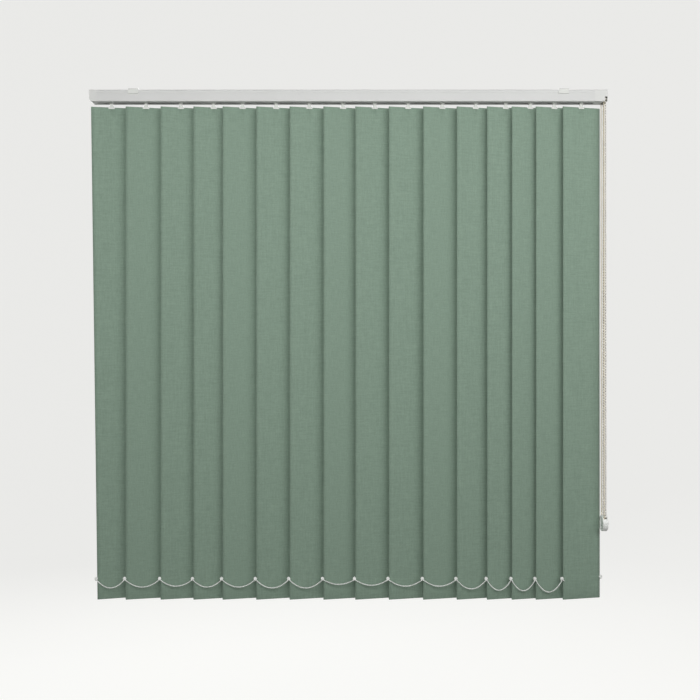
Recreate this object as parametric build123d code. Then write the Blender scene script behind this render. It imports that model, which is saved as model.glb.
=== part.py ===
from build123d import *
import math
import os

os.makedirs("parts", exist_ok=True)

# Vertical blind, hung from the ceiling by two clips. Millimetres.
# X runs along the headrail, -Y faces the room, +Z is up.
# The origin lies in the ceiling plane, midway between the two clips' screw holes.

# Whole blind
blind_width = 1152.0
louvre_width = 89.0
louvre_length = 1098.0
louvre_gap = 9.5  # from the headrail's underside to the louvres
rest_tilt = 13.0  # degrees that a closed louvre stands out of the blind's plane

# Where the louvres hang: the outer two's distances from the blind's ends, and the gaps between
# them all from left to right, which share what is left of the blind's width
first_inset = 46.3
last_inset = 55.5
louvre_gaps = [
    77.1, 77.8, 73.1, 64.9, 74.9, 74.3, 75.3, 71.0,
    74.6, 76.4, 74.7, 67.3, 55.1, 53.5, 60.2,
]
first_lean = 0.73  # degrees that the first louvre is pulled aside by its chain

# Headrail
rail_height = 26.5
rail_depth = 32.0
rail_wall = 1.2
rail_corner = 2.0
slot_width = 10.0
track_rib = 2.0  # width of the two inner ribs
track_rib_drop = 7.0  # from the inside of the top wall
grip_groove_drop = 6.4  # from the rail's top to the clip's groove
grip_groove_height = 1.8
grip_groove_depth = 0.5

# Ceiling clips
clip_spread = 955.6
clip_width = 22.5
clip_plate = 2.0
clip_lip = 1.2
clip_seat = 0.3
screw_hole = 4.6
screw_head = 8.4
screw_head_depth = 1.1

# End caps
control_cap_length = 28.5
idle_cap_length = 16.5
cap_wall = 1.4
control_cap_corner = 3.0
idle_cap_corner = 8.0
cap_fit = 0.3
tongue_length = 8.0
tongue_inset = 3.0  # from the rail's inner walls
post_sides = 12  # of the plain posts inside the end caps
cord_side_gap = 0.4  # beside the cord's runs in the rail

# Tilt drive
rod_radius = 3.0
rod_drop = 13.2  # from the rail's top to the rod's axis
rod_groove = 1.3
rod_grooves = 4
rod_end_gap = 1.0
running_fit = 0.06
wheel_beads = 10
bead_pitch = 6.0
bead_diameter = 4.2
wheel_thickness = 4.4
wheel_sides = 20  # a plain form for the wheels, which the caps hide
hub_radius = 4.2
hub_wall_from_wheel = 14.0

# Carriers
carrier_length = 12.4
carrier_top_gap = 5.2  # from the inside of the rail's top
carrier_foot = 1.3  # above the rail's lips
carrier_chamfer = 2.5
roller_radius = 4.25
roller_width = 3.1
roller_gap = 0.3
roller_sides = 8  # a plain form for the rollers, which the rail hides
stem_sides = 8
neck_length = 9.0
neck_side_gap = 0.6
neck_drop = 1.5  # below the rail
rod_clearance = 0.25
stem_below_rod = 1.2

# Hook, hanger and weight of a louvre
stem_radius = 3.0
stem_end_gap = 0.2
jaw_width = 7.0
jaw_thickness = 0.7
jaw_opening = 5.1
jaw_roof = 1.6  # solid height above the hanger's neck
jaw_above_louvre = 0.8
plate_thickness = 1.4
plate_clearance = 0.1
hanger_width = 84.0
hanger_height = 17.0
hanger_neck_foot = 13.0
hanger_neck_top = 5.6
hanger_end_gap = 0.4  # between the neck and the jaws' roof
hook_peg = 1.8
weight_width = 86.0
ear_height = 3.4
ear_reach = 4.0
ear_above_hem = 46.0
chain_clip_reach = 2.3  # from the louvre's edge to the chain clip's middle
chain_clip_length = 3.8
chain_clip_thickness = 2.9
chain_clip_height = 7.0

# Fabric
fabric = 0.45
seam = 4.2
pocket_play = 0.1
seam_taper = 0.6
hanger_notch_gap = 0.5
hanger_notch_depth = 3.4

# Bottom chains
chain_segment_length = 86.0  # from clip to clip
chain_size = 2.0
chain_gap = 0.3
swag_bend = 1.4  # from 1 for straight flanks to 2 for a parabola
swag_runs = 5  # straight lengths that a swag is drawn with
loose_end = 6.0  # of each chain past its last clip
loose_end_slope = 40.0  # degrees

# Control cord, control chain and their weight
cord_diameter = 2.2
strand_sides = 6  # of the strands' plain section
cord_strand_spread = 24.0
strand_gap = 1.05  # between the cord and the chain beside it, at the rail
turn_gap = 0.35  # and where both turn in the hanging weight
chain_side_gap = 0.3
cord_drop = 12.7  # from the rail's top to the cord's run inside it
guide_radius = 6.0
cord_end_gap = 0.2  # from the cord's ends to the lead carrier
weight_drop = 965.0  # from the rail's top to the hanging weight's middle
cord_weight_radius = 18.0
cord_weight_wall = 1.7
groove_gap = 0.25
rim_height = 0.7  # of the raised rim round each dished face
rim_width = 2.4
rim_chamfer = 1.2
dish_slope = 1.0
weight_sides = 32  # of the weight's plain round form
channel_sides = 16

# Return pulley, its pin and the rod's end bearing in the idle end cap
pulley_height = 5.0
pulley_sides = 16
pulley_flange = 0.5
pulley_end_gap = 0.6  # from the pulley to the end cap's wall
pin_radius = 2.0
pin_head = 0.7
pin_head_height = 1.0
shelf_gap = 1.2  # between the pulley and its shelf
bearing_length = 4.0
bearing_wall = 2.0
bearing_from_pulley = 3.0

# Heights
rail_top = -(clip_plate + clip_seat)
rail_bottom = rail_top - rail_height
rail_middle = (rail_top + rail_bottom) / 2
lip_top = rail_bottom + rail_wall
rod_z = rail_top - rod_drop
cord_z = rail_top - cord_drop
louvre_top = rail_bottom - louvre_gap
hem = louvre_top - louvre_length
ear_z = hem + ear_above_hem
weight_z = rail_top - weight_drop

# Ends along X
right_end = blind_width / 2
left_end = -right_end
rail_right = right_end - control_cap_length
rail_left = left_end + idle_cap_length
chain_x = right_end - cap_wall - chain_side_gap - bead_diameter / 2
cord_x = chain_x - bead_diameter / 2 - strand_gap - cord_diameter / 2
cord_turn_x = chain_x - bead_diameter / 2 - turn_gap - cord_diameter / 2
strand_y = cord_strand_spread / 2
wheel_radius = wheel_beads * bead_pitch / (2 * math.pi)
gap_share = (blind_width - first_inset - last_inset) / sum(louvre_gaps)
louvre_places = [left_end + first_inset]
for gap in louvre_gaps:
    louvre_places.append(louvre_places[-1] + gap_share * gap)

outer_half = rail_depth / 2
inner_half = outer_half - rail_wall
beside_cord = strand_y - cord_diameter / 2 - cord_side_gap  # what runs between the cord's two runs


def save(name, solids):
    """Write one node as a STEP file."""
    export_step(Compound(children=list(solids)), f"parts/{name}.step")


def block(x, y, z):
    """A box between two values along each axis."""
    size = [high - low for low, high in (x, y, z)]
    middle = [(high + low) / 2 for low, high in (x, y, z)]
    return Pos(*middle) * Box(*size)


def rod_along_x(radius, x, y=0.0, z=0.0):
    """A cylinder along X from x[0] to x[1]."""
    return Pos((x[0] + x[1]) / 2, y, z) * Rot(0, 90, 0) * Cylinder(radius, x[1] - x[0])


def rod_along_z(radius, z, x=0.0, y=0.0):
    """A cylinder along Z from z[0] to z[1]."""
    return Pos(x, y, (z[0] + z[1]) / 2) * Cylinder(radius, z[1] - z[0])


def prism(radius, sides, length):
    """A straight prism about Z whose flats lie at this radius."""
    return extrude(RegularPolygon(radius, sides, major_radius=False), length / 2, both=True)


def turned(profile, sides):
    """A form about Z through these radii and heights, with flat sides in place of round ones."""
    form = Part()
    for step in zip(profile, profile[1:]):
        (narrow, end), (wide, start) = sorted(step)
        length = abs(end - start)
        taper = math.degrees(math.atan2((wide - narrow) * math.cos(math.pi / sides), length))
        facing = Rot(180 if end < start else 0, 0, 0)
        form += Pos(0, 0, start) * facing * extrude(RegularPolygon(wide, sides), length, taper=taper)
    return form


# Headrail, an aluminium extrusion with a slot along its underside
def rail_outline():
    """The outside of the rail and of both end caps, drawn in Y and Z."""
    return Pos(0, rail_middle) * RectangleRounded(rail_depth, rail_height, rail_corner)


def headrail():
    section = rail_outline()
    section -= Pos(0, rail_middle) * Rectangle(2 * inner_half, rail_height - 2 * rail_wall)
    section -= Pos(0, rail_bottom) * Rectangle(slot_width, 3 * rail_wall)
    groove_z = rail_top - grip_groove_drop - grip_groove_height / 2
    rib_z = rail_top - rail_wall - track_rib_drop
    for side in (-1, 1):
        section += Pos(side * (inner_half - track_rib / 2), rib_z) * Rectangle(track_rib, rail_wall)
        section -= Pos(side * outer_half, groove_z) * Rectangle(
            2 * grip_groove_depth, grip_groove_height
        )
    return extrude(Plane.YZ.offset(rail_left) * section, rail_right - rail_left)


# Ceiling clips, moulded, that grip the rail's two grooves
def ceiling_clip(x):
    inside = outer_half + clip_seat
    outside = inside + clip_lip
    groove_z = rail_top - grip_groove_drop - grip_groove_height / 2
    lip_end = groove_z - grip_groove_height / 2 - 0.6 * clip_lip
    bead = grip_groove_height / 2 - clip_seat
    half = [
        (0, 0),
        (outside - clip_lip, 0),
        (outside, -clip_lip),
        (outside, lip_end + clip_lip / 2),
        (outside - clip_lip / 2, lip_end),
        (inside, lip_end),
        (inside, groove_z - bead),
        (inside - grip_groove_depth, groove_z - bead / 2),
        (inside - grip_groove_depth, groove_z + bead / 2),
        (inside, groove_z + bead),
        (inside, -clip_plate),
        (0, -clip_plate),
    ]
    side = make_face(Plane.YZ * Polyline(*half, close=True))
    clip = extrude(side, clip_width / 2, both=True)
    clip += mirror(clip, Plane.XZ)
    clip -= rod_along_z(screw_hole / 2, (-2 * clip_plate, clip_plate))
    sink = Cone(screw_head / 2, screw_hole / 2, screw_head_depth)
    clip -= Pos(0, 0, -clip_plate + screw_head_depth / 2) * sink
    return Pos(x, 0, 0) * clip


# End caps
def cap_shell(x, outer_x, corner, wall):
    """A hollow end of the rail's outline, open to the rail, with a rounded lower outer corner."""
    low, high = sorted((x, outer_x))
    middle = (low + high) / 2
    out = 1 if outer_x > x else -1

    def side_view(inset, shape_corner, size):
        side = Pos(middle - out * inset, rail_middle) * Rectangle(high - low, rail_height - 2 * inset)
        edge_x = outer_x - out * inset
        ends = [v for v in side.vertices() if abs(v.X - edge_x) < 0.01]
        lower = sorted(ends, key=lambda v: v.Y)[0]
        return Plane.XZ * shape_corner(lower, size)

    outside = extrude(Plane.YZ.offset(low) * rail_outline(), high - low)
    outside &= extrude(side_view(0, fillet, corner), rail_depth, both=True)
    room = extrude(side_view(wall, chamfer, 0.75 * (corner - wall)), outer_half - wall, both=True)
    return outside - room


def control_end_cap():
    cap = cap_shell(rail_right, right_end, control_cap_corner, cap_wall)
    strands = block(
        (cord_x - cord_diameter, right_end - cap_wall),
        (-inner_half, inner_half),
        (rail_bottom - cap_wall, lip_top + cap_wall),
    )
    chain_mouth = block(
        (chain_x - bead_diameter / 2 - chain_side_gap, right_end - cap_wall),
        (-rail_depth, 0),
        (rail_bottom - cap_wall, rail_middle - bead_diameter / 2),
    )
    cap -= strands
    cap -= chain_mouth
    # a web carries the chain wheel's hub, and round guides turn the two cord strands downwards
    web_x = chain_x - hub_wall_from_wheel
    web = extrude(
        Plane.YZ.offset(web_x - cap_wall) * rail_outline(),
        2 * cap_wall,
    ) & block((rail_right, right_end), (-beside_cord, beside_cord), (rail_bottom, rail_top))
    web -= rod_along_x(hub_radius + running_fit, (rail_right, right_end), 0, rod_z)
    cap += web
    guide = guide_radius - cord_diameter / 2 - groove_gap
    for side in (-1, 1):
        near, far = sorted((side * (strand_y - cord_diameter), side * (inner_half + cap_wall / 2)))
        post = Rot(90, 0, 0) * prism(guide, post_sides, far - near)
        cap += Pos(cord_x - guide_radius, (near + far) / 2, cord_z - guide_radius) * post
    # a tongue plugs into the rail under its top wall
    tongue_top = rail_top - rail_wall - cap_fit
    tongue_half = inner_half - tongue_inset
    tongue = (tongue_top - cap_wall, tongue_top)
    root = (tongue_top - cap_wall, rail_top - cap_wall / 2)
    cap += block((rail_right - tongue_length, rail_right + cap_wall), (-tongue_half, tongue_half), tongue)
    cap += block((rail_right, rail_right + 2 * cap_wall), (-tongue_half, tongue_half), root)
    return cap


pulley_x = left_end + cap_wall + cap_fit + strand_y + cord_diameter / 2 + pulley_end_gap
shelf_top = cord_z - pulley_height / 2 - shelf_gap
rod_left = pulley_x + strand_y + cord_diameter / 2 + bearing_from_pulley


def idle_end_cap():
    cap = cap_shell(rail_left, left_end, idle_cap_corner, cap_wall)
    # a shelf runs into the rail, with the return pulley's pin and the tilt rod's end bearing
    bearing_end = rod_left + bearing_length
    shelf = (shelf_top - 2 * cap_wall, shelf_top)
    shelf_half = inner_half - cap_fit
    root_half = outer_half - cap_wall / 2
    root = left_end + cap_wall / 2
    cap += block((root, rail_left), (-root_half, root_half), shelf)
    cap += block((root, bearing_end), (-shelf_half, shelf_half), shelf)
    pin_foot = shelf_top - cap_wall
    under_pulley = cord_z - pulley_height / 2 - cap_fit
    over_pulley = cord_z + pulley_height / 2 + cap_fit
    post = prism(2 * pin_radius, post_sides, under_pulley - pin_foot)
    cap += Pos(pulley_x, 0, (pin_foot + under_pulley) / 2) * post
    cap += rod_along_z(pin_radius, (pin_foot, over_pulley), pulley_x)
    head = prism(pin_radius + pin_head, post_sides, pin_head_height)
    cap += Pos(pulley_x, 0, over_pulley + pin_head_height / 2) * head
    bearing_half = rod_radius + bearing_wall
    bearing = block(
        (rod_left - rod_end_gap / 2, bearing_end),
        (-bearing_half, bearing_half),
        (shelf_top - cap_wall, rod_z + bearing_half),
    )
    bearing -= rod_along_x(rod_radius + running_fit, (rod_left, bearing_end + 1), 0, rod_z)
    return cap + bearing


def return_pulley():
    """The cord's pulley at the idle end, turned about Z."""
    rim = strand_y + cord_diameter / 2 + cord_side_gap
    root = strand_y - cord_diameter / 2 - groove_gap
    half = pulley_height / 2
    groove = cord_diameter / 2 + groove_gap
    profile = [
        (rim, -half),
        (rim, -half + pulley_flange),
        (root, -groove),
        (root, groove),
        (rim, half - pulley_flange),
        (rim, half),
    ]
    wheel = turned(profile, pulley_sides)
    wheel -= rod_along_z(pin_radius + running_fit, (-pulley_height, pulley_height))
    return Pos(pulley_x, 0, cord_z) * wheel


# Tilt drive: a grooved rod turned by the chain wheel
def rod_section():
    section = Circle(rod_radius)
    for turn in range(rod_grooves):
        section -= Rot(0, 0, 360 / rod_grooves * turn) * Pos(rod_radius, 0) * Rectangle(
            rod_groove, rod_groove
        )
    return section


wheel_left = chain_x - wheel_thickness / 2
rod_right = wheel_left - rod_end_gap


def tilt_rod():
    section = Pos(0, rod_z) * rod_section()
    rod_start = rod_left + rod_end_gap / 2
    return extrude(Plane.YZ.offset(rod_start) * section, rod_right - rod_start)


def chain_wheel():
    """The wheel that the bead chain drives, with a hub that holds the rod's end."""
    half = wheel_thickness / 2
    root = wheel_radius - math.sqrt(2) * (bead_diameter / 2 + groove_gap)
    profile = [(root + half, -half), (root, 0), (root + half, half)]
    wheel = Pos(chain_x, 0, 0) * Rot(0, 90, 0) * turned(profile, wheel_sides)
    hub_left = chain_x - hub_wall_from_wheel - 2 * cap_wall
    wheel += rod_along_x(hub_radius, (hub_left, wheel_left + wheel_thickness / 2))
    wheel -= rod_along_x(rod_radius + running_fit, (hub_left - 1, rod_right + rod_end_gap / 2))
    return Pos(0, 0, rod_z) * wheel


# Carriers, one for each louvre, that roll on the rail's lips
stem_top = rod_z - rod_radius - rod_clearance - stem_below_rod
neck_foot = rail_bottom - neck_drop


def carrier(lead):
    low = lip_top + carrier_foot
    high = rail_top - rail_wall - carrier_top_gap
    half = carrier_length / 2
    body = block((-half, half), (-beside_cord, beside_cord), (low, high))
    top_edges = body.edges().filter_by(Axis.X).group_by(Axis.Z)[-1]
    body = chamfer(top_edges, carrier_chamfer)
    body += block(
        (-neck_length / 2, neck_length / 2),
        (-slot_width / 2 + neck_side_gap, slot_width / 2 - neck_side_gap),
        (neck_foot, low + 1),
    )
    axle_z = lip_top + roller_gap + roller_radius
    roller_middle = beside_cord + roller_width / 2
    flat_down = Rot(0, 0, 180 / roller_sides)
    roller = Rot(90, 0, 0) * flat_down * prism(roller_radius, roller_sides, roller_width)
    for side in (-1, 1):
        body += Pos(0, side * roller_middle, axle_z) * roller
    if lead:
        # the lead carrier has a lug that the two ends of the cord are tied to
        body += block(
            (-half, half),
            (-strand_y - cord_diameter / 2 - cord_side_gap, 1 - beside_cord),
            (cord_z - cord_diameter, cord_z + cord_diameter),
        )
    rod_hole = Rot(0, 90, 0) * prism(rod_radius + rod_clearance, 6, 2 * carrier_length)
    body -= Pos(0, 0, rod_z) * rod_hole
    stem_corner = stem_radius / math.cos(math.pi / stem_sides)
    stem_hole = prism(stem_corner + running_fit, stem_sides, stem_top - neck_foot + 1)
    return body - Pos(0, 0, (stem_top + neck_foot - 1) / 2) * stem_hole


# Louvre fittings, drawn as a louvre hangs when it faces the room: u is X, and the back is +Y
jaw_bottom = louvre_top + jaw_above_louvre
jaw_roof_z = jaw_bottom + jaw_opening
jaw_top = jaw_roof_z + jaw_roof
pin_z = (jaw_roof_z + jaw_bottom) / 2


def hook():
    """The turning stem, held in the carrier, and two jaws that grip the hanger."""
    inside = plate_thickness / 2 + plate_clearance
    outside = inside + jaw_thickness
    stem_head = stem_top - stem_end_gap
    stem = Pos(0, 0, (jaw_top + stem_head) / 2) * prism(stem_radius, stem_sides, stem_head - jaw_top)
    stem += block((-jaw_width / 2, jaw_width / 2), (-outside, outside), (jaw_bottom, jaw_top))
    stem -= block((-jaw_width, jaw_width), (-inside, inside), (jaw_bottom - 1, jaw_roof_z))
    peg = hook_peg / 2
    return stem + block((-peg, peg), (-outside, outside), (pin_z - peg, pin_z + peg))


def top_hanger():
    """The plate in the louvre's top pocket, with a tapered neck that hangs on the hook."""
    half = hanger_width / 2
    top = louvre_top - fabric - plate_clearance
    neck_end = jaw_roof_z - hanger_end_gap
    outline = Polyline(
        (-hanger_neck_top / 2, neck_end),
        (hanger_neck_top / 2, neck_end),
        (hanger_neck_foot / 2, top),
        (half, top),
        (half, top - hanger_height),
        (-half, top - hanger_height),
        (-half, top),
        (-hanger_neck_foot / 2, top),
        close=True,
    )
    plate = extrude(make_face(Plane.XZ * outline), plate_thickness / 2, both=True)
    hole = hook_peg / 2 + plate_clearance
    return plate - block((-hole, hole), (-plate_thickness, plate_thickness), (pin_z - hole, pin_z + hole))


def bottom_weight():
    """The plate in the louvre's bottom pocket, with an ear and a chain clip at each top corner."""
    half = weight_width / 2
    foot = hem + fabric + 3 * plate_clearance
    shoulder = ear_z + ear_height / 2
    outline = Polyline(
        (-half, foot),
        (half, foot),
        (half, shoulder - ear_height),
        (louvre_width / 2 + ear_reach, shoulder - ear_height),
        (louvre_width / 2 + ear_reach, shoulder),
        (-louvre_width / 2 - ear_reach, shoulder),
        (-louvre_width / 2 - ear_reach, shoulder - ear_height),
        (-half, shoulder - ear_height),
        close=True,
    )
    plate = extrude(make_face(Plane.XZ * outline), plate_thickness / 2, both=True)
    for side in (-1, 1):
        middle = side * (louvre_width / 2 + chain_clip_reach)
        plate += Pos(middle, 0, ear_z) * Box(chain_clip_length, chain_clip_thickness, chain_clip_height)
    return plate


def leaning(shape, lean):
    """Turn a piece in the louvre's own plane about the hook's pin."""
    return Pos(0, 0, pin_z) * Rot(0, -lean, 0) * Pos(0, 0, -pin_z) * shape


def placed(shape, x):
    return Pos(x, 0, 0) * Rot(0, 0, rest_tilt) * shape


def fittings(x, lean):
    turned = [top_hanger(), bottom_weight()]
    return [placed(hook(), x)] + [placed(leaning(piece, lean), x) for piece in turned]


# Fabric louvre: one sheet, folded back at the top and the hem into a pocket for each plate
def louvre(x, lean):
    inner = plate_thickness / 2 + plate_clearance
    outer = inner + fabric
    top_pocket = louvre_top - fabric - 2 * plate_clearance - hanger_height
    hem_pocket = ear_z + ear_height / 2 + 2 * plate_clearance
    outline = Polyline(
        (-outer, hem),
        (-outer, louvre_top),
        (outer, louvre_top),
        (outer, top_pocket),
        (-inner, top_pocket - seam),
        (-inner, hem_pocket + seam),
        (outer, hem_pocket),
        (outer, hem),
        close=True,
    )
    top_room = Polyline(
        (-inner, louvre_top - fabric),
        (inner, louvre_top - fabric),
        (inner, top_pocket + pocket_play),
        (-inner, top_pocket - seam + fabric + seam_taper),
        close=True,
    )
    hem_room = Polyline(
        (-inner, hem + fabric),
        (inner, hem + fabric),
        (inner, hem_pocket - pocket_play),
        (-inner, hem_pocket + seam - fabric - seam_taper),
        close=True,
    )
    section = make_face(Plane.YZ * outline)
    section -= make_face(Plane.YZ * top_room)
    section -= make_face(Plane.YZ * hem_room)
    sheet = extrude(section, louvre_width / 2, both=True)
    notch = hanger_neck_foot / 2 + hanger_notch_gap
    sheet -= block((-notch, notch), (-seam, seam), (louvre_top - hanger_notch_depth, louvre_top + 1))
    return placed(leaning(sheet, lean), x)


# Bottom chains: one hangs in swags along the louvres' room side, the other along the back
def clip_point(number, side):
    """Where a chain passes a louvre's chain clip."""
    lean = first_lean if number == 0 else 0.0
    out = side * (louvre_width / 2 + chain_clip_reach)
    corner = chain_clip_length / 2 * math.sin(math.radians(rest_tilt))
    off = side * (chain_clip_thickness / 2 + corner + chain_gap + chain_size / 2)
    shift = (pin_z - ear_z) * math.sin(math.radians(lean))
    rise = -out * math.sin(math.radians(lean))
    spin = math.radians(rest_tilt)
    along = out + shift
    x = louvre_places[number] + along * math.cos(spin) - off * math.sin(spin)
    y = along * math.sin(spin) + off * math.cos(spin)
    return Vector(x, y, ear_z - rise if lean else ear_z)


def chain_band(clip, run, stops):
    """A length of chain from a clip, through places of (distance along the run, height, slope)."""
    upper, lower = [], []
    for along, height, slope in stops:
        half = chain_size / 2 * math.hypot(1, slope)
        upper.append((along, height + half))
        lower.append((along, height - half))
    face = make_face(Plane.XZ * Polyline(*upper, *reversed(lower), close=True))
    band = extrude(face, chain_size / 2, both=True)
    heading = math.degrees(math.atan2(run.Y, run.X))
    return Pos(clip.X, clip.Y, clip.Z) * Rot(0, 0, heading) * Pos(chain_gap / 2, 0, 0) * band


def swag(start, end):
    """One length of chain that sags between two clips."""
    run = end - start
    span = math.hypot(run.X, run.Y) - chain_gap
    sag = math.sqrt(max(chain_segment_length**2 - span**2, 0)) / 2
    stops = []
    for step in range(swag_runs + 1):
        side = 2 * step / swag_runs - 1
        slope = math.copysign(2 * swag_bend * sag / span * abs(side) ** (swag_bend - 1), side)
        stops.append((span * (side + 1) / 2, -sag * (1 - abs(side) ** swag_bend), slope))
    return chain_band(start, run, stops)


def bottom_chain(side):
    clips = [clip_point(number, side) for number in range(len(louvre_places))]
    swags = [swag(start, end) for start, end in zip(clips, clips[1:])]
    slope = -math.tan(math.radians(loose_end_slope))
    reach = loose_end * math.cos(math.radians(loose_end_slope))
    end = chain_band(clips[-1], clips[-1] - clips[-2], [(0, 0, slope), (reach, reach * slope, slope)])
    return swags + [end]


# The traverse cord runs from the lead carrier along the rail, down round the hanging weight,
# back up, along the whole rail and round the return pulley to the lead carrier's other side
lead_half = carrier_length / 2 + cord_end_gap
lead_x = louvre_places[0]
far_pulley_x = pulley_x - strand_y
weight_turn_z = weight_z - strand_y
cord_route = [
    (lead_x + lead_half, -strand_y, cord_z),
    (cord_x, -strand_y, cord_z),
    (cord_turn_x, -strand_y, weight_turn_z),
    (cord_turn_x, strand_y, weight_turn_z),
    (cord_x, strand_y, cord_z),
    (far_pulley_x, strand_y, cord_z),
    (far_pulley_x, -strand_y, cord_z),
    (lead_x - lead_half, -strand_y, cord_z),
]
turn_radius = strand_y - 0.05
cord_radii = [guide_radius, turn_radius, turn_radius, guide_radius, turn_radius, turn_radius]

# The control chain is a loop over the chain wheel and round the hanging weight
wheel_top = rod_z + wheel_radius
chain_route = [
    (chain_x, -0.4, wheel_top),
    (chain_x, -wheel_radius, wheel_top),
    (chain_x, -strand_y, weight_turn_z),
    (chain_x, strand_y, weight_turn_z),
    (chain_x, wheel_radius, wheel_top),
    (chain_x, 0.4, wheel_top),
]
wheel_turn = wheel_radius - 0.5
chain_radii = [wheel_turn, turn_radius, turn_radius, wheel_turn]


def strand(route, radii, diameter):
    """A tube of straight runs and tangent arcs along a route."""
    tube = None
    for edge in FilletPolyline(*route, radius=radii).edges():
        heading = edge % 0
        sideways = (0, 0, 1) if abs(heading.X) > 0.5 else (1, 0, 0)
        section = Plane(origin=edge @ 0, z_dir=heading, x_dir=sideways)
        ring = section * RegularPolygon(diameter / 2, strand_sides)
        if edge.geom_type == GeomType.LINE:
            piece = extrude(ring, edge.length)
        else:
            turn = heading.cross(edge % 1)
            sweep_angle = math.degrees(edge.length / edge.radius)
            piece = revolve(ring, Axis(edge.arc_center, turn), sweep_angle)
        tube = piece if tube is None else tube + piece
    return tube


# Hanging weight: two moulded half shells round a fixed boss, with the strands' turns inside
def weight_shell(outer_x, inner_x):
    """One half about X, with a dished outer face and a channel for the strands' turns."""
    out = 1 if outer_x > inner_x else -1
    depth = abs(outer_x - inner_x)
    floor = depth - cord_weight_wall - rim_height
    dish_radius = cord_weight_radius - rim_width
    boss = strand_y - bead_diameter / 2 - groove_gap
    side_profile = [
        (cord_weight_radius, 0),
        (cord_weight_radius, depth - rim_chamfer),
        (cord_weight_radius - rim_chamfer, depth),
    ]
    dish_profile = [
        (dish_radius - dish_slope, depth - rim_height),
        (dish_radius + dish_slope, depth + rim_height),
    ]
    shell = turned(side_profile, weight_sides) - turned(dish_profile, weight_sides)
    channel = prism(cord_weight_radius - cord_weight_wall, channel_sides, 2 * floor)
    channel -= prism(boss * math.cos(math.pi / channel_sides), channel_sides, 2 * depth)
    shell = Pos(inner_x, 0, 0) * Rot(0, 90 * out, 0) * (shell - channel)
    mouth = strand_y + bead_diameter / 2 + groove_gap
    for side in (-1, 1):
        shell -= block(
            sorted((inner_x + out * floor, inner_x - out)),
            sorted((side * boss, side * mouth)),
            (0, cord_weight_radius),
        )
    return Pos(0, 0, weight_z) * shell


def cord_weight():
    left = cord_turn_x - cord_diameter / 2 - groove_gap - cord_weight_wall - rim_height
    right = chain_x + bead_diameter / 2 + groove_gap + cord_weight_wall + rim_height
    joint = (left + right) / 2
    return [weight_shell(left, joint), weight_shell(right, joint)]


save("headrail", [headrail()])
save("mounting_brackets", [ceiling_clip(side * clip_spread / 2) for side in (-1, 1)])
save("control_end_cap", [control_end_cap()])
save("idle_end_cap", [idle_end_cap()])
save("return_pulley", [return_pulley()])
save("tilt_rod", [tilt_rod()])
save("chain_wheel", [chain_wheel()])
for number, place in enumerate(louvre_places):
    tag = f"{number + 1:02d}"
    lean = first_lean if number == 0 else 0.0
    save(f"carrier_{tag}", [Pos(place, 0, 0) * carrier(lead=number == 0)])
    save(f"fittings_{tag}", fittings(place, lean))
    save(f"louvre_{tag}", [louvre(place, lean)])
save("bottom_chain_front", bottom_chain(-1))
save("bottom_chain_back", bottom_chain(1))
save("traverse_cord", [strand(cord_route, cord_radii, cord_diameter)])
save("control_chain", [strand(chain_route, chain_radii, bead_diameter)])
save("cord_weight", cord_weight())
print("cord turns at radii", cord_radii, "and chain turns at", chain_radii)
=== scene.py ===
import math
import random

import bmesh
import bpy
from mathutils import Matrix, Vector


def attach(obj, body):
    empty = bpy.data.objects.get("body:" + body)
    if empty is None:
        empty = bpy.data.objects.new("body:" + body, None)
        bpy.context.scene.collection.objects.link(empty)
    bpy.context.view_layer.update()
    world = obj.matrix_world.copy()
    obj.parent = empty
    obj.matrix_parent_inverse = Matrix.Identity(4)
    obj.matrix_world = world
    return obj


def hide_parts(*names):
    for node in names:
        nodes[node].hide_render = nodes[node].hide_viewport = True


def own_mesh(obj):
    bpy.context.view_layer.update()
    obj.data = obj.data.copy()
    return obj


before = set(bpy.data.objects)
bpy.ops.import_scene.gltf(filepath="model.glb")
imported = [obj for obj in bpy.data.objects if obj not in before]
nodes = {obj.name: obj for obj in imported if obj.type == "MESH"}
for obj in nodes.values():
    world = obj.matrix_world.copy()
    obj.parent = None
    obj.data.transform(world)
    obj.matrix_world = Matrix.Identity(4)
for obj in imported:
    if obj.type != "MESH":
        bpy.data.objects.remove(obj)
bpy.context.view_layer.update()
mm = 0.001

# The blind is seen from straight in front, from a little over two metres away, with the
# eye at half the blind's height.
eye_side, eye_distance, eye_height = 0.0034, 2.148, -0.5805  # metres
eye = bpy.data.cameras.new("eye")
eye.sensor_width = 36
eye.lens = 49.4
camera = bpy.data.objects.new("eye", eye)
camera.location = (eye_side, -eye_distance, eye_height)
camera.rotation_euler = (math.radians(90), 0, 0)
bpy.context.collection.objects.link(camera)
bpy.context.scene.camera = camera

# Headrail: a slotted section of extruded aluminium with a white polyester powder coat. The end
# caps plug into its two ends, and the ceiling clips grip the grooves along its sides.


def linear(hex_colour):
    """A hex sRGB colour as the linear colour that a socket takes."""
    channels = [int(hex_colour[i : i + 2], 16) / 255 for i in (1, 3, 5)]
    return (*[c / 12.92 if c <= 0.04045 else ((c + 0.055) / 1.055) ** 2.4 for c in channels], 1)


def new_material(name):
    """An empty material with its shader, as (material, node tree, shader)."""
    material = bpy.data.materials.new(name)
    material.use_nodes = True
    tree = material.node_tree
    return material, tree, tree.nodes["Principled BSDF"]


def add(tree, kind, values=(), links=(), **settings):
    """Add a node: its settings, its sockets' values, and links into its sockets."""
    node = tree.nodes.new(kind)
    for key, value in settings.items():
        setattr(node, key, value)
    for socket, value in dict(values).items():
        node.inputs[socket].default_value = value
    for socket, source in dict(links).items():
        tree.links.new(source, node.inputs[socket])
    return node


def finish_node(name, material):
    """A CAD node takes its real finish."""
    data = nodes[name].data
    data.materials.clear()
    data.materials.append(material)


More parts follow.
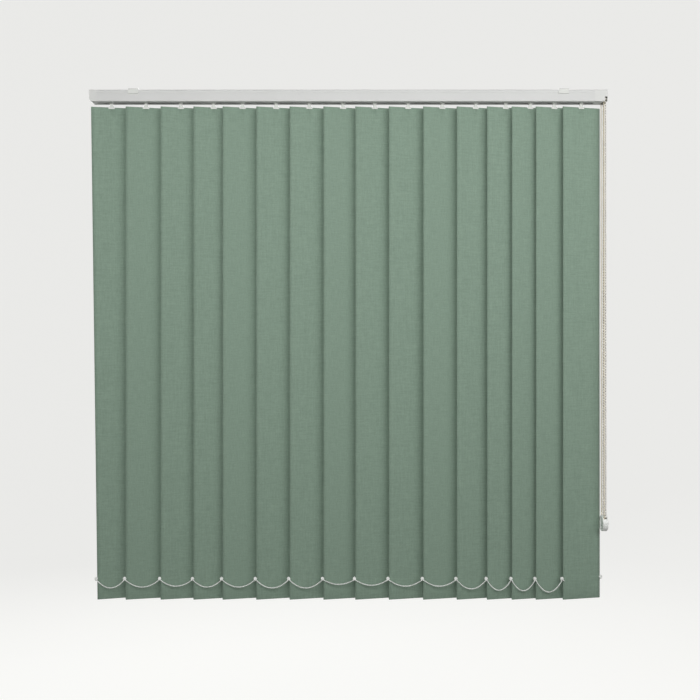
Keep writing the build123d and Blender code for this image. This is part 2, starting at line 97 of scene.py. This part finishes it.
# The coat is a satin white with a fine orange peel, a little greyer than the plastic pieces
peel_size, patch_size = 1.6, 120  # mm
powder_coat, tree, shader = new_material("powder_coated_aluminium")
where = add(tree, "ShaderNodeTexCoord").outputs["Object"]
peel = add(tree, "ShaderNodeTexNoise", {"Scale": 1 / (peel_size * mm), "Detail": 2}, {"Vector": where})
patches = add(tree, "ShaderNodeTexNoise", {"Scale": 1 / (patch_size * mm), "Detail": 1}, {"Vector": where})
shade = add(tree, "ShaderNodeValToRGB", links={0: patches.outputs["Fac"]})
shade.color_ramp.elements[0].color = linear("#C6C7C5")
shade.color_ramp.elements[1].color = linear("#D0D1CF")
tree.links.new(shade.outputs[0], shader.inputs["Base Color"])
raised = add(
    tree,
    "ShaderNodeBump",
    {"Strength": 0.12, "Distance": 0.2 * mm},
    {"Height": peel.outputs["Fac"]},
)
tree.links.new(raised.outputs[0], shader.inputs["Normal"])
shader.inputs["Roughness"].default_value = 0.38
finish_node("headrail", powder_coat)

# Tilt rod: a drawn aluminium rod with four grooves, left as drawn. It lies along the inside of
# the headrail, from a bearing at the idle end to the chain wheel's hub.
# Fine lines run along it and draw its highlights out.
line_length, line_width = 60, 0.4  # mm
drawn_aluminium, tree, shader = new_material("drawn_aluminium")
along = add(
    tree,
    "ShaderNodeMapping",
    {"Scale": (1 / (line_length * mm), 1 / (line_width * mm), 1 / (line_width * mm))},
    {"Vector": add(tree, "ShaderNodeTexCoord").outputs["Object"]},
)
lines = add(tree, "ShaderNodeTexNoise", {"Scale": 1.0, "Detail": 3}, {"Vector": along.outputs[0]})
gloss = add(
    tree, "ShaderNodeMapRange", {"To Min": 0.24, "To Max": 0.42}, {"Value": lines.outputs["Fac"]}
)
tree.links.new(gloss.outputs[0], shader.inputs["Roughness"])
shader.inputs["Base Color"].default_value = linear("#C9CBCE")
shader.inputs["Metallic"].default_value = 1.0
finish_node("tilt_rod", drawn_aluminium)

# Return pulley, chain wheel and carriers: moulded acetal. The pulley turns on a pin at the idle
# end and the wheel on the rod's end, and the carriers roll along the headrail's lips.
grain_size, flow_size = 0.5, 14  # mm, of the mould's texture and of the uneven colour


def moulded(name, dark, light, roughness):
    """A moulded plastic, with the faint grain that a spark-eroded mould leaves."""
    material, tree, shader = new_material(name)
    where = add(tree, "ShaderNodeTexCoord").outputs["Object"]
    grain, flow = [
        add(tree, "ShaderNodeTexNoise", {"Scale": 1 / (size * mm), "Detail": 2}, {"Vector": where})
        for size in (grain_size, flow_size)
    ]
    shade = add(tree, "ShaderNodeValToRGB", links={0: flow.outputs["Fac"]})
    shade.color_ramp.elements[0].color = linear(dark)
    shade.color_ramp.elements[1].color = linear(light)
    tree.links.new(shade.outputs[0], shader.inputs["Base Color"])
    raised = add(
        tree,
        "ShaderNodeBump",
        {"Strength": 0.15, "Distance": 0.1 * mm},
        {"Height": grain.outputs["Fac"]},
    )
    tree.links.new(raised.outputs[0], shader.inputs["Normal"])
    shader.inputs["Roughness"].default_value = roughness
    return material


# A greyish white with a soft gloss
acetal = moulded("moulded_acetal", "#CBCDC8", "#D6D8D3", 0.3)
finish_node("return_pulley", acetal)
finish_node("chain_wheel", acetal)
for name in nodes:
    if name.startswith("carrier_"):
        finish_node(name, acetal)

# End caps: hollow ends of moulded ABS that plug into the headrail. The control end's cap guides
# the cord and carries the chain wheel, and the idle end's has the pulley's pin and the bearing.
# Their white is as greyish as the acetal's and a little more matt.
abs_plastic = moulded("moulded_abs", "#C9CAC7", "#D3D4D1", 0.36)
finish_node("control_end_cap", abs_plastic)
finish_node("idle_end_cap", abs_plastic)

# Traverse cord: 2.2 mm braided polyester. Both ends are tied to the lead carrier's lug. It runs
# along the rail, down round the hanging weight and back, then round the return pulley.


def link_object(name, data, material, body):
    """A new piece with its material, riding on its body."""
    piece = bpy.data.objects.new(name, data)
    bpy.context.collection.objects.link(piece)
    data.materials.append(material)
    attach(piece, body)
    return piece


def route_curve(name, points, thickness):
    """A round strand along the NURBS spline of these control points, given in millimetres."""
    curve = bpy.data.curves.new(name, "CURVE")
    curve.dimensions = "3D"
    curve.resolution_u = 12
    curve.bevel_depth = thickness / 2 * mm
    curve.bevel_resolution = 3
    spline = curve.splines.new("NURBS")
    spline.points.add(len(points) - 1)
    for point, place in zip(spline.points, points):
        point.co = (*[value * mm for value in place], 1)
    spline.order_u = 3
    spline.use_endpoint_u = True
    return curve


cord_thickness = 2.2
cord_bend = 6 * cord_thickness  # from a turn to the point that keeps the run beyond it straight
strand_y, cord_z = 12.0, -15.0
lug_left, lug_right, lug_run = -536.1, -523.3, 20.0
cord_x, cord_turn_x = 567.95, 568.65
turn_z = -979.3
pulley_far_x = -572.6
cord_route = [
    (lug_right, -strand_y, cord_z),
    (lug_right + lug_run, -strand_y, cord_z),
    (cord_x - cord_bend, -strand_y, cord_z),
    (cord_x, -strand_y, cord_z),
    (cord_x, -strand_y, cord_z - cord_bend),
    (cord_turn_x, -strand_y, turn_z + cord_bend),
    (cord_turn_x, -strand_y, turn_z),
    (cord_turn_x, strand_y, turn_z),
    (cord_turn_x, strand_y, turn_z + cord_bend),
    (cord_x, strand_y, cord_z - cord_bend),
    (cord_x, strand_y, cord_z),
    (cord_x - cord_bend, strand_y, cord_z),
    (pulley_far_x + cord_bend, strand_y, cord_z),
    (pulley_far_x, strand_y, cord_z),
    (pulley_far_x, -strand_y, cord_z),
    (pulley_far_x + cord_bend, -strand_y, cord_z),
    (lug_left, -strand_y, cord_z),
]

# The braid is a matt cream with fine strands that cross along it
braid_pitch = 1.7  # mm, of the crossing strands
braid_lean = 0.6  # radians, of the strands
straight_wave = 20  # radians of a straight-banded wave in a unit of length, at scale 1
polyester_braid, tree, shader = new_material("braided_polyester")
where = add(tree, "ShaderNodeTexCoord").outputs["Object"]
turned = [
    add(tree, "ShaderNodeMapping", {"Rotation": (0, braid_lean * side, 0)}, {"Vector": where})
    for side in (-1, 1)
]
strands = [
    add(
        tree,
        "ShaderNodeTexWave",
        {"Scale": math.tau / (straight_wave * braid_pitch * mm), "Distortion": 0.4},
        {"Vector": mapping.outputs[0]},
        bands_direction="Z",
    )
    for mapping in turned
]
crossing = add(
    tree,
    "ShaderNodeMath",
    links={0: strands[0].outputs["Fac"], 1: strands[1].outputs["Fac"]},
    operation="MAXIMUM",
)
shade = add(tree, "ShaderNodeValToRGB", links={0: crossing.outputs[0]})
shade.color_ramp.elements[0].color = linear("#B8A98B")
shade.color_ramp.elements[1].color = linear("#E3DAC3")
tree.links.new(shade.outputs[0], shader.inputs["Base Color"])
raised = add(
    tree, "ShaderNodeBump", {"Strength": 0.5, "Distance": 0.3 * mm}, {"Height": crossing.outputs[0]}
)
tree.links.new(raised.outputs[0], shader.inputs["Normal"])
shader.inputs["Roughness"].default_value = 0.75
shader.inputs["Sheen Weight"].default_value = 0.3

traverse_cord = link_object(
    "traverse_cord_braid",
    route_curve("traverse_cord_braid", cord_route, cord_thickness),
    polyester_braid,
    "root",
)
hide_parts("traverse_cord")

# Control chain: an endless loop of 4.2 mm moulded beads at 6 mm pitch on a polyester thread. It
# hangs over the chain wheel and round the hanging weight.


def spline_points(name, points):
    """Points along the NURBS spline of these control points, read from the curve itself."""
    curve = route_curve(name, points, 0)
    curve.resolution_u = 24
    holder = bpy.data.objects.new(name, curve)
    mesh = bpy.data.meshes.new_from_object(holder)
    line = [v.co.copy() for v in mesh.vertices]
    bpy.data.objects.remove(holder)
    bpy.data.meshes.remove(mesh)
    bpy.data.curves.remove(curve)
    return line


def spaced_along(line, pitch, first):
    """Places along a line of points, one each pitch from first, all in metres."""
    places, done, wanted = [], 0.0, first
    for a, b in zip(line, line[1:]):
        step = (b - a).length
        while step > 0 and wanted <= done + step:
            places.append(a.lerp(b, (wanted - done) / step))
            wanted += pitch
        done += step
    return places


def bead_mesh(name, places, diameter, sides, rings):
    """One mesh of round beads, one at each place."""
    bead = bmesh.new()
    bmesh.ops.create_uvsphere(bead, u_segments=sides, v_segments=rings, radius=diameter / 2 * mm)
    corners = [v.co.copy() for v in bead.verts]
    faces = [[v.index for v in face.verts] for face in bead.faces]
    bead.free()
    vertices, polygons = [], []
    for spot in places:
        start = len(vertices)
        vertices += [spot + corner for corner in corners]
        polygons += [[start + index for index in face] for face in faces]
    mesh = bpy.data.meshes.new(name)
    mesh.from_pydata(vertices, [], polygons)
    mesh.shade_smooth()
    return mesh


bead_size, bead_pitch = 4.2, 6.0
bead_sides, bead_rings = 14, 9
control_thread_size = 1.7
chain_x = 572.2
wheel_top, wheel_y = -5.951, 9.549
loop_gap = 0.4  # from the loop's top to each end of its curve
chain_bend = 6 * bead_size
chain_route = [
    (chain_x, -loop_gap, wheel_top),
    (chain_x, -wheel_y, wheel_top),
    (chain_x, -wheel_y, wheel_top - chain_bend),
    (chain_x, -strand_y, turn_z + chain_bend),
    (chain_x, -strand_y, turn_z),
    (chain_x, strand_y, turn_z),
    (chain_x, strand_y, turn_z + chain_bend),
    (chain_x, wheel_y, wheel_top - chain_bend),
    (chain_x, wheel_y, wheel_top),
    (chain_x, loop_gap, wheel_top),
]

# Smooth moulded acetal gives the beads a soft gloss and a slightly cloudy white
cloud_size = 9  # mm
bead_plastic, tree, shader = new_material("moulded_acetal_bead")
cloudy = add(
    tree,
    "ShaderNodeTexNoise",
    {"Scale": 1 / (cloud_size * mm), "Detail": 2},
    {"Vector": add(tree, "ShaderNodeTexCoord").outputs["Object"]},
)
shade = add(tree, "ShaderNodeValToRGB", links={0: cloudy.outputs["Fac"]})
shade.color_ramp.elements[0].color = linear("#EDE9DF")
shade.color_ramp.elements[1].color = linear("#F8F6F0")
tree.links.new(shade.outputs[0], shader.inputs["Base Color"])
shader.inputs["Roughness"].default_value = 0.32
shader.inputs["IOR"].default_value = 1.48

# Spun thread is dull, and its twist shows as bands along it. Its dark brown colour is painted shade in the
# gaps between the beads
twist_pitch = 1.8  # mm along the thread
diagonal_wave = 10  # radians of a diagonal-banded wave in a unit along one axis, at scale 1
thread_with_painted_gap_shade, tree, shader = new_material("polyester_thread_painted_gap_shade")
twist = add(
    tree,
    "ShaderNodeTexWave",
    {"Scale": math.tau / (diagonal_wave * twist_pitch * mm), "Distortion": 1.0},
    {"Vector": add(tree, "ShaderNodeTexCoord").outputs["Object"]},
    bands_direction="DIAGONAL",
)
shade = add(tree, "ShaderNodeValToRGB", links={0: twist.outputs["Fac"]})
# Both browns are painted shade, which darkens the gaps between the beads
shade.color_ramp.elements[0].color = linear("#5A4A38")
shade.color_ramp.elements[1].color = linear("#7D6B52")
tree.links.new(shade.outputs[0], shader.inputs["Base Color"])
shader.inputs["Roughness"].default_value = 0.85

control_thread = link_object(
    "control_chain_thread",
    route_curve("control_chain_thread", chain_route, control_thread_size),
    thread_with_painted_gap_shade,
    "root",
)
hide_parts("control_chain")
loop_line = spline_points("control_loop", chain_route)
bead_places = spaced_along(loop_line, bead_pitch * mm, bead_pitch / 2 * mm)
control_beads = link_object(
    "control_chain_beads",
    bead_mesh("control_chain_beads", bead_places, bead_size, bead_sides, bead_rings),
    bead_plastic,
    "root",
)

# Hanging weight: two half shells of moulded ABS, closed round the lower turns of the cord and
# the control chain, which it keeps taut. Its ABS is a purer white than the end caps'.
white_abs = moulded("moulded_white_abs", "#F0F3EE", "#FBFCFA", 0.3)
finish_node("cord_weight", white_abs)

# Louvre fittings: a hook below each carrier, a hanger in the louvre's top pocket and a weight in
# its hem pocket, all of moulded acetal. The hanger clips into the hook.
for name in nodes:
    if name.startswith("fittings_"):
        finish_node(name, acetal)

# Louvres: one strip each of stiffened woven polyester, 89 mm wide. The top is folded over the
# hanger and the hem over the weight, and each fold is welded down to make a pocket.
louvre_places = [
    -529.7, -452.6, -374.8, -301.7, -236.8, -161.9, -87.6, -12.3,
    58.7, 133.3, 209.7, 284.4, 351.7, 406.8, 460.3, 520.5,
]
rest_tilt = 13.0  # degrees, of every louvre about its hook
first_lean = 0.73  # degrees: the first louvre hangs a little askew
louvre_leans = [first_lean] + [0.0] * (len(louvre_places) - 1)
louvre_width = 89.0
louvre_top, hem = -38.3, -1136.3
fabric_thickness = 0.45
pocket_half = 1.025  # from the plate's middle to the middle of the cloth
top_pocket, hem_pocket = -56.1, -1088.4
weld = 4.2
notch_half, notch_depth = 7.0, 3.4
hook_pin_z = -34.95
cup_depth, twist_depth = 0.5, 0.6  # the most that a louvre cups and twists
twist_wave = 5.0  # radians that the twist swings through from top to hem
column_places = (18, 27, 36)  # of the mesh, each side of the louvre's middle

# The weave is matt, with soft streaks along its threads. The real threads lie 0.55 mm apart, too
# fine to show, so they are drawn as coarse as shown_thread.
shown_thread, warp_streak, weft_streak, slub_size = 1.5, 26, 22, 3.2  # mm
woven_polyester, tree, shader = new_material("woven_polyester")
flat_on = add(
    tree,
    "ShaderNodeMapping",
    {"Rotation": (0, 0, math.radians(-rest_tilt))},
    {"Vector": add(tree, "ShaderNodeTexCoord").outputs["Object"]},
)


def stretched_noise(across, down, detail):
    """Noise as wide and as tall as these millimetres, in the louvre's plane."""
    through = 50  # mm, far more than the cloth is thick
    size = (1 / (across * mm), 1 / (through * mm), 1 / (down * mm))
    mapping = add(tree, "ShaderNodeMapping", {"Scale": size}, {"Vector": flat_on.outputs[0]})
    values = {"Scale": 1.0, "Detail": detail}
    return add(tree, "ShaderNodeTexNoise", values, {"Vector": mapping.outputs[0]})


warp = stretched_noise(shown_thread, warp_streak, 1)
weft = stretched_noise(weft_streak, shown_thread, 1)
slubs = stretched_noise(slub_size, slub_size, 2)
threads = add(
    tree,
    "ShaderNodeMath",
    links={0: warp.outputs["Fac"], 1: weft.outputs["Fac"]},
    operation="ADD",
)
cloth = add(
    tree,
    "ShaderNodeMath",
    links={0: threads.outputs[0], 1: slubs.outputs["Fac"]},
    operation="ADD",
)
tone = add(
    tree,
    "ShaderNodeMapRange",
    {"From Min": 1.05, "From Max": 1.95},
    {"Value": cloth.outputs[0]},
)
shade = add(tree, "ShaderNodeValToRGB", links={0: tone.outputs[0]})
shade.color_ramp.elements[0].color = linear("#7B9080")
shade.color_ramp.elements[1].color = linear("#899F8E")
tree.links.new(shade.outputs[0], shader.inputs["Base Color"])
raised = add(
    tree, "ShaderNodeBump", {"Strength": 0.35, "Distance": 0.3 * mm}, {"Height": cloth.outputs[0]}
)
tree.links.new(raised.outputs[0], shader.inputs["Normal"])
shader.inputs["Roughness"].default_value = 0.82
shader.inputs["Sheen Weight"].default_value = 0.12

random.seed(16)
front, back = -pocket_half, pocket_half
fold_steps, face_rows = 4, 36


def louvre_profile():
    """The cloth's middle line down a strip, as (out of the plane, height, whether the notch cuts it)."""
    notch_foot = louvre_top - notch_depth
    high = louvre_top - pocket_half - fabric_thickness / 2
    low = hem + pocket_half + fabric_thickness / 2
    line = [(front + fabric_thickness, top_pocket - weld, False), (back, top_pocket, False)]
    line.append((back, notch_foot, False))
    for step in range(fold_steps + 1):
        turn = math.pi * step / fold_steps
        line.append((back * math.cos(turn), high + pocket_half * math.sin(turn), True))
    for row in range(face_rows):
        line.append((front, notch_foot + (low - notch_foot) * row / face_rows, False))
    line.append((front, low, False))
    for step in range(1, fold_steps):
        turn = math.pi * step / fold_steps
        line.append((front * math.cos(turn), low - pocket_half * math.sin(turn), False))
    line += [(back, low, False), (back, hem_pocket, False)]
    line.append((front + fabric_thickness, hem_pocket + weld, False))
    return line


def louvre_mesh(name, place, lean):
    """The cloth of one louvre, hanging at its place, with a slight cup and twist of its own."""
    half = louvre_width / 2
    one_side = [notch_half, *column_places, half]
    columns = [-across for across in reversed(one_side)] + [0] + one_side
    profile = louvre_profile()
    cup = random.uniform(-cup_depth, cup_depth)
    twist = random.uniform(-twist_depth, twist_depth)
    turned = Matrix.Rotation(math.radians(rest_tilt), 4, "Z")
    leaned = Matrix.Rotation(math.radians(-lean), 4, "Y")
    pin = Vector((0, 0, hook_pin_z))
    cloth = bmesh.new()
    grid = []
    for out, height, in_notch in profile:
        share = (louvre_top - height) / (louvre_top - hem)
        loose = math.sin(math.pi * share) ** 2
        row = []
        for across in columns:
            edge = across / half
            wave = cup * edge**2 * loose + twist * edge * loose * math.sin(twist_wave * share)
            spot = leaned @ (Vector((across, out + wave, height)) - pin) + pin
            spot = turned @ spot + Vector((place, 0, 0))
            row.append(cloth.verts.new(spot * mm))
        grid.append(row)
    for row, (upper, lower) in enumerate(zip(grid, grid[1:])):
        in_notch = profile[row][2] or profile[row + 1][2]
        for left in range(len(columns) - 1):
            right = left + 1
            if in_notch and abs(columns[left] + columns[right]) / 2 < notch_half:
                continue
            cloth.faces.new((upper[left], upper[right], lower[right], lower[left]))
    loose_corners = [v for v in cloth.verts if not v.link_faces]
    bmesh.ops.delete(cloth, geom=loose_corners, context="VERTS")
    mesh = bpy.data.meshes.new(name)
    cloth.to_mesh(mesh)
    cloth.free()
    mesh.shade_smooth()
    return mesh


for number, (place, lean) in enumerate(zip(louvre_places, louvre_leans), 1):
    name = f"louvre_{number:02d}_cloth"
    strip = link_object(name, louvre_mesh(name, place, lean), woven_polyester, f"louvre_{number:02d}")
    thick = strip.modifiers.new("cloth thickness", "SOLIDIFY")
    thick.thickness = fabric_thickness * mm
    thick.offset = 0
    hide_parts(f"louvre_{number:02d}")

# Bottom chains: white moulded beads on a thread, one chain along the room side and one along the
# back. A round clip at each corner of a louvre's weight holds them. They slip a little in the
# clips, so the swags between them hang to depths of their own.
bottom_bead, bottom_pitch, bottom_thread = 2.8, 3.3, 1.2
bottom_sides, bottom_rings = 10, 7
swag_depths = [19, 17, 15, 17, 17, 19, 19, 11, 13, 15, 15, 21, 24, 25, 28]
swag_bend, swag_steps = 2.0, 24
loose_end, loose_end_slope = 6.0, 40.0  # millimetres, and degrees below level
clip_reach = 2.3  # from the louvre's edge to a clip's middle
clip_out, clip_z = louvre_width / 2 + clip_reach, -1090.3
ear_length, ear_thickness = 3.8, 2.9  # of the weight's ears, which the chains hang clear of
chain_size, chain_gap = 2.0, 0.3
clip_radius, clip_rise, clip_depth, clip_rounding = 3.8, 1.2, 3.1, 0.6
clip_sides = 20
two_sides = ((-1, "front"), (1, "back"))


def clip_point(place, side, lean):
    """Where a chain passes a louvre's clip, in millimetres."""
    corner = ear_length / 2 * math.sin(math.radians(rest_tilt))
    off = side * (ear_thickness / 2 + corner + chain_gap + chain_size / 2)
    lean = math.radians(lean)
    along = side * clip_out + (hook_pin_z - clip_z) * math.sin(lean)
    rise = side * clip_out * math.sin(lean)
    spin = math.radians(rest_tilt)
    return (
        place + along * math.cos(spin) - off * math.sin(spin),
        along * math.sin(spin) + off * math.cos(spin),
        clip_z + rise,
    )


def swag_line(side):
    """Places along a chain, from clip to clip and down its loose end, and its last clip's, in mm."""
    clips = [clip_point(place, side, lean) for place, lean in zip(louvre_places, louvre_leans)]
    line = [clips[0]]
    for begin, end, sag in zip(clips, clips[1:], swag_depths):
        run = Vector(end) - Vector(begin)
        for step in range(1, swag_steps + 1):
            share = step / swag_steps
            drop = sag * (1 - abs(2 * share - 1) ** swag_bend)
            line.append(tuple(Vector(begin) + run * share - Vector((0, 0, drop))))
    run = (Vector(clips[-1]) - Vector(clips[-2])).normalized()
    reach = loose_end * math.cos(math.radians(loose_end_slope))
    drop = loose_end * math.sin(math.radians(loose_end_slope))
    line.append(tuple(Vector(clips[-1]) + run * reach - Vector((0, 0, drop))))
    return line, clips[-1]


def thread_mesh(name, line, thickness):
    """A mesh of a thread through these places."""
    curve = bpy.data.curves.new(name, "CURVE")
    curve.dimensions = "3D"
    curve.bevel_depth = thickness / 2 * mm
    curve.bevel_resolution = 1
    spline = curve.splines.new("POLY")
    spline.points.add(len(line) - 1)
    for point, place in zip(spline.points, line):
        point.co = (*[value * mm for value in place], 1)
    holder = bpy.data.objects.new(name, curve)
    mesh = bpy.data.meshes.new_from_object(holder)
    mesh.materials.clear()
    mesh.name = name
    bpy.data.objects.remove(holder)
    return mesh


def chain_clip(name, place, side, lean):
    """The round clip at one corner of a louvre's weight, flat in the louvre's plane."""
    disc = bmesh.new()
    bmesh.ops.create_cone(
        disc,
        cap_ends=True,
        segments=clip_sides,
        radius1=clip_radius * mm,
        radius2=clip_radius * mm,
        depth=clip_depth * mm,
    )
    bmesh.ops.bevel(
        disc, geom=disc.edges[:], offset=clip_rounding * mm, segments=2, affect="EDGES", profile=0.5
    )
    pin = Vector((0, 0, hook_pin_z)) * mm
    seat = Vector((side * clip_out, 0, clip_z + clip_rise)) * mm
    to_place = (
        Matrix.Translation((place * mm, 0, 0))
        @ Matrix.Rotation(math.radians(rest_tilt), 4, "Z")
        @ Matrix.Translation(pin)
        @ Matrix.Rotation(math.radians(-lean), 4, "Y")
        @ Matrix.Translation(seat - pin)
        @ Matrix.Rotation(math.radians(90), 4, "X")
    )
    disc.transform(to_place)
    mesh = bpy.data.meshes.new(name)
    disc.to_mesh(mesh)
    disc.free()
    return mesh


for number, (place, lean) in enumerate(zip(louvre_places, louvre_leans), 1):
    for side, label in two_sides:
        name = f"chain_clip_{number:02d}_{label}"
        clip = link_object(name, chain_clip(name, place, side, lean), white_abs, f"louvre_{number:02d}")

for side, label in two_sides:
    line, anchor = swag_line(side)
    places = spaced_along([Vector(place) * mm for place in line], bottom_pitch * mm, 0.0)
    beads = bead_mesh(f"bottom_chain_{label}_beads", places, bottom_bead, bottom_sides, bottom_rings)
    thread = thread_mesh(f"bottom_chain_{label}_thread", line, bottom_thread)
    pieces = [link_object(data.name, data, white_abs, f"chain_{label}") for data in (beads, thread)]
    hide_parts(f"bottom_chain_{label}")
    anchor = [value * mm for value in anchor]
    for piece in pieces:
        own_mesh(piece)

# Ceiling clips: two clips of moulded acetal, screwed up into the ceiling. The finished headrail
# snaps into them by the grooves along its sides.
finish_node("mounting_brackets", acetal)

# Studio: a pale floor below the hanging blind that curves up into a pale wall all round. The
# wall's paleness to the eye is its own. One wide soft lamp lights the blind from in front, more
# from the right, a weak one fills in from the left, and a third one lights its back.
floor_z, floor_radius, sweep_radius, wall_top = -1.75, 3.2, 2.4, 3.2
sweep_steps, ring_sides = 16, 96
wall_glow = 0.84  # what the wall shows of itself
air_light, air_glow = 0.2, 0.65  # what the air lights the blind with, and shows beyond that
outline = [(floor_radius, floor_z)]
for step in range(1, sweep_steps + 1):
    turn = math.pi / 2 * step / sweep_steps
    outline.append(
        (floor_radius + sweep_radius * math.sin(turn), floor_z + sweep_radius * (1 - math.cos(turn)))
    )
outline.append((floor_radius + sweep_radius, wall_top))
studio = bmesh.new()
rings = []
for radius, height in outline:
    turns = [math.tau * i / ring_sides for i in range(ring_sides)]
    rings.append([studio.verts.new((radius * math.cos(t), radius * math.sin(t), height)) for t in turns])
studio.faces.new(rings[0])
for lower, upper in zip(rings, rings[1:]):
    for i in range(ring_sides):
        j = (i + 1) % ring_sides
        studio.faces.new((lower[j], lower[i], upper[i], upper[j]))
studio_mesh = bpy.data.meshes.new("studio_sweep")
studio.to_mesh(studio_mesh)
studio.free()
studio_mesh.shade_smooth()

# Matt paint shows no highlight
matt_paint, tree, shader = new_material("matt_wall_paint")
shader.inputs["Base Color"].default_value = linear("#959593")
shader.inputs["Roughness"].default_value = 0.9


def seeing_rays(tree):
    """One for a ray that shows the studio itself: straight, in a reflection or through a piece."""
    rays = add(tree, "ShaderNodeLightPath").outputs
    seen = rays["Is Camera Ray"]
    for kind in ("Is Glossy Ray", "Is Transmission Ray"):
        seen = add(tree, "ShaderNodeMath", links={0: seen, 1: rays[kind]}, operation="ADD").outputs[0]
    return seen


glow = add(tree, "ShaderNodeMath", {1: wall_glow}, {0: seeing_rays(tree)}, operation="MULTIPLY")
shader.inputs["Emission Color"].default_value = linear("#F3F3F1")
tree.links.new(glow.outputs[0], shader.inputs["Emission Strength"])
studio_mesh.materials.append(matt_paint)
sweep = bpy.data.objects.new("studio_sweep", studio_mesh)
bpy.context.collection.objects.link(sweep)


def soft_lamp(name, place, width, height, power, aim):
    """A rectangular lamp that faces its aim, in metres and watts."""
    lamp = bpy.data.lights.new(name, "AREA")
    lamp.shape = "RECTANGLE"
    lamp.size, lamp.size_y = width, height
    lamp.energy = power
    holder = bpy.data.objects.new(name, lamp)
    holder.location = place
    holder.rotation_euler = (Vector(aim) - Vector(place)).to_track_quat("-Z", "Y").to_euler()
    bpy.context.collection.objects.link(holder)


soft_lamp("key", (0.7, -1.6, 0.15), 3.6, 0.9, 37, (0.5, 0, -0.25))
soft_lamp("fill", (-1.3, -2.2, 0.1), 2.0, 2.0, 9, (0.3, 0, -0.6))
soft_lamp("back", (-0.6, 2.2, 0.5), 2.4, 1.2, 38, (0, 0, -0.5))

world = bpy.data.worlds.new("studio_air")
bpy.context.scene.world = world
world.use_nodes = True
tree = world.node_tree
air = tree.nodes["Background"]
air.inputs["Color"].default_value = (1, 1, 1, 1)
strength = add(
    tree,
    "ShaderNodeMath",
    {1: air_glow, 2: air_light},
    {0: seeing_rays(tree)},
    operation="MULTIPLY_ADD",
)
tree.links.new(strength.outputs[0], air.inputs["Strength"])
bpy.context.scene.view_settings.view_transform = "Standard"
